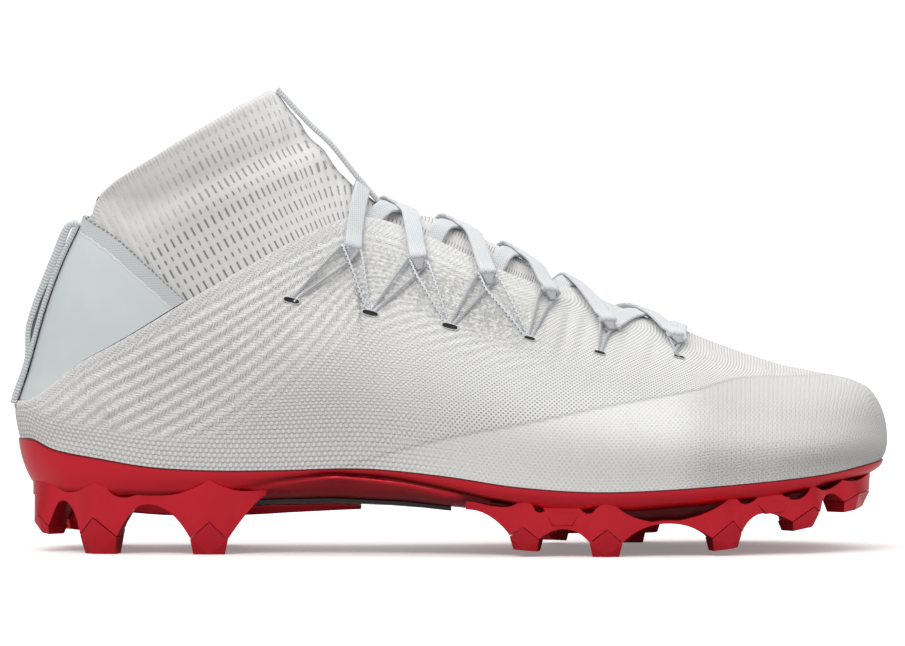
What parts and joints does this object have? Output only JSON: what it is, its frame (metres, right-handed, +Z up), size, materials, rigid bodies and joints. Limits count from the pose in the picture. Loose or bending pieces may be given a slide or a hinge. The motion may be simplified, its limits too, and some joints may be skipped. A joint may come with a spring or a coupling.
{
  "type": "american football cleat",
  "caption": "Right-foot american football cleat with a seamless knit upper, a sock collar, a laced instep, pull straps and a glossy studded plate",
  "frame": {"origin": "middle of the shoe's bounding box in plan, on the ground that its studs stand on", "axes": "+X runs from heel to toe, +Z is up, -Y is the lateral side of the right shoe"},
  "size_m": [0.2944, 0.1082, 0.1569],
  "materials": {
    "knit_shell": "matte",
    "knit_sock": "matte",
    "film": "satin",
    "red_chrome": "gloss",
    "red_tip": "gloss",
    "insole_foam": "matte",
    "shank": "satin",
    "lace": "matte",
    "webbing": "matte",
    "loop_cord": "matte"
  },
  "bodies": {
    "root": {"upper": "knit_shell", "collar": "knit_sock", "heel_film": "film", "plate": "red_chrome", "insole": "insole_foam", "shank": "shank", "laces": "lace", "tongue_pull": "webbing", "heel_pull": "webbing", "lace_loop_lateral_1": "loop_cord", "lace_loop_lateral_2": "loop_cord", "lace_loop_lateral_3": "loop_cord", "lace_loop_lateral_4": "loop_cord", "lace_loop_lateral_5": "loop_cord", "lace_loop_lateral_6": "loop_cord", "lace_loop_medial_1": "loop_cord", "lace_loop_medial_2": "loop_cord", "lace_loop_medial_3": "loop_cord", "lace_loop_medial_4": "loop_cord", "lace_loop_medial_5": "loop_cord", "lace_loop_medial_6": "loop_cord", "tip_lateral_heel_1": "red_tip", "tip_lateral_heel_2": "red_tip", "tip_lateral_heel_3": "red_tip", "tip_lateral_fore_1": "red_tip", "tip_lateral_fore_2": "red_tip", "tip_lateral_fore_3": "red_tip", "tip_lateral_fore_4": "red_tip", "tip_lateral_fore_5": "red_tip", "tip_medial_heel_1": "red_tip", "tip_medial_heel_2": "red_tip", "tip_medial_heel_3": "red_tip", "tip_medial_fore_1": "red_tip", "tip_medial_fore_2": "red_tip", "tip_medial_fore_3": "red_tip", "tip_medial_fore_4": "red_tip", "tip_medial_fore_5": "red_tip"}
  },
  "joints": []
}
